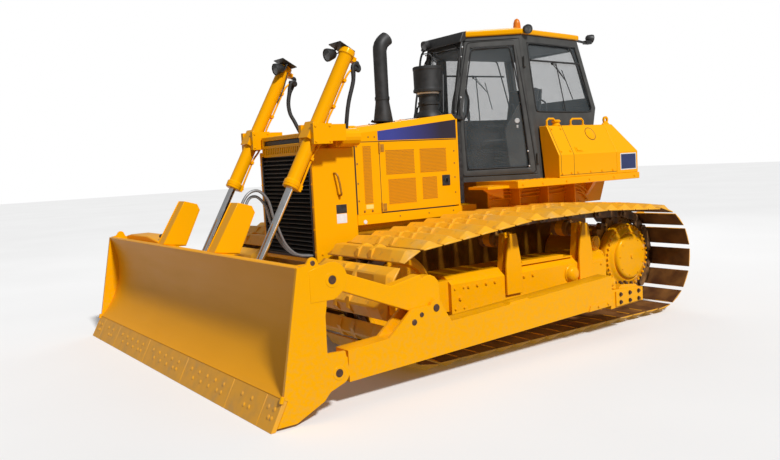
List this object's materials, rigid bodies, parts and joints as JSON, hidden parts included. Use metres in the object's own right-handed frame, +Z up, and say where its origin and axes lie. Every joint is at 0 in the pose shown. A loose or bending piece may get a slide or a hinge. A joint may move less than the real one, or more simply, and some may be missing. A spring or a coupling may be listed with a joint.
{
  "type": "low ground pressure crawler bulldozer",
  "caption": "Crawler bulldozer with wide low-ground-pressure tracks, straight blade on outboard push arms, lift cylinders, glazed cab and opening doors.",
  "frame": {"origin": "on the ground under the middle of the machine, blade included", "axes": "+X forward to the blade, +Y to the operator's left, +Z up"},
  "size_m": [5.2112, 4.112, 3.1023],
  "materials": {
    "yellow_paint": "glossy saturated yellow enamel with light dust",
    "worn_shoe_steel": "yellow paint over rolled steel shoes, tan where worn",
    "cutting_edge_steel": "thin yellow paint, scuffed on the ground edge",
    "grille_black": "satin black",
    "engine_grey": "plain cast grey",
    "exhaust_black": "heat-proof satin black",
    "cab_charcoal": "satin dark grey",
    "tinted_glass": "grey tint",
    "amber_lens": "clear orange lens",
    "seat_fabric": "woven black seat cloth",
    "interior_plastic": "moulded dark grey",
    "rod_chrome": "polished hard chrome",
    "hose_rubber": "smooth black hose cover",
    "lamp_black": "black lamp housing"
  },
  "bodies": {
    "root": {"main_frame": "yellow_paint", "equaliser_bar": "yellow_paint", "rear_drawbar": "yellow_paint", "radiator_guard": "yellow_paint", "hood_top": "yellow_paint", "cab_roof": "yellow_paint", "rear_fuel_tank": "yellow_paint", "left_final_drive": "yellow_paint", "right_final_drive": "yellow_paint", "left_idler": "yellow_paint", "right_idler": "yellow_paint", "left_track_frame": "yellow_paint", "right_track_frame": "yellow_paint", "left_front_side_panel": "yellow_paint", "right_front_side_panel": "yellow_paint", "left_fender_deck": "yellow_paint", "right_fender_deck": "yellow_paint", "left_side_tank": "yellow_paint", "right_side_tank": "yellow_paint", "left_cylinder_support": "yellow_paint", "right_cylinder_support": "yellow_paint", "left_track": "worn_shoe_steel", "right_track": "worn_shoe_steel", "radiator_grille": "grille_black", "engine_block": "engine_grey", "exhaust_stack": "exhaust_black", "air_precleaner": "exhaust_black", "cab_frame": "cab_charcoal", "windscreen": "tinted_glass", "rear_glass": "tinted_glass", "left_quarter_glass": "tinted_glass", "right_quarter_glass": "tinted_glass", "beacon": "amber_lens", "operator_seat": "seat_fabric", "instrument_panel": "interior_plastic", "left_armrest_console": "interior_plastic", "right_armrest_console": "interior_plastic"},
    "blade_group": {"blade": "yellow_paint", "cutting_edge": "cutting_edge_steel", "left_push_arm": "yellow_paint", "right_push_arm": "yellow_paint", "left_brace": "yellow_paint", "right_tilt_cylinder": "yellow_paint"},
    "left_cylinder": {"left_lift_barrel": "yellow_paint", "left_lift_hose": "hose_rubber", "left_work_lamp": "lamp_black"},
    "right_cylinder": {"right_lift_barrel": "yellow_paint", "right_lift_hose": "hose_rubber", "right_work_lamp": "lamp_black"},
    "left_rod": {"left_lift_rod": "rod_chrome"},
    "right_rod": {"right_lift_rod": "rod_chrome"},
    "left_door": {"left_cab_door": "cab_charcoal", "left_door_glass": "tinted_glass"},
    "right_door": {"right_cab_door": "cab_charcoal", "right_door_glass": "tinted_glass"},
    "left_engine_cover": {"left_engine_door": "yellow_paint"},
    "right_engine_cover": {"right_engine_door": "yellow_paint"}
  },
  "joints": [
    {"name": "blade_lift", "type": "hinge", "parent": "root", "child": "blade_group", "pos_m": [-1.08535, 0, 0.34], "axis": [0, -1, 0], "range_deg": [-8, 17]},
    {"name": "left_cylinder_swing", "type": "hinge", "parent": "root", "child": "left_cylinder", "pos_m": [1.30965, 0.58, 1.94], "axis": [0, -1, 0], "range_deg": [-8.5, 17.5]},
    {"name": "left_rod_slide", "type": "slide", "parent": "left_cylinder", "child": "left_rod", "axis": [0.4883, 0, -0.8727], "range_m": [-0.86, 0.41]},
    {"name": "right_cylinder_swing", "type": "hinge", "parent": "root", "child": "right_cylinder", "pos_m": [1.30965, -0.58, 1.94], "axis": [0, -1, 0], "range_deg": [-8.5, 17.5]},
    {"name": "right_rod_slide", "type": "slide", "parent": "right_cylinder", "child": "right_rod", "axis": [0.4883, 0, -0.8727], "range_m": [-0.86, 0.41]},
    {"name": "left_cab_door_hinge", "type": "hinge", "parent": "root", "child": "left_door", "pos_m": [-1.21835, 0.722, 2.15], "axis": [0.0634, -0.0768, 0.995], "range_deg": [0, 105]},
    {"name": "right_cab_door_hinge", "type": "hinge", "parent": "root", "child": "right_door", "pos_m": [-1.21835, -0.722, 2.15], "axis": [-0.0634, -0.0768, -0.995], "range_deg": [0, 105]},
    {"name": "left_engine_door_hinge", "type": "hinge", "parent": "root", "child": "left_engine_cover", "pos_m": [0.56965, 0.5, 1.52], "axis": [0, 0, -1], "range_deg": [0, 100]},
    {"name": "right_engine_door_hinge", "type": "hinge", "parent": "root", "child": "right_engine_cover", "pos_m": [0.56965, -0.5, 1.52], "axis": [0, 0, 1], "range_deg": [0, 100]}
  ],
  "couplings": [
    {"joint": "left_cylinder_swing", "follows": "blade_lift", "ratio": 1},
    {"joint": "left_rod_slide", "follows": "blade_lift", "m_per_rad": -2.853},
    {"joint": "right_cylinder_swing", "follows": "blade_lift", "ratio": 1},
    {"joint": "right_rod_slide", "follows": "blade_lift", "m_per_rad": -2.853}
  ]
}
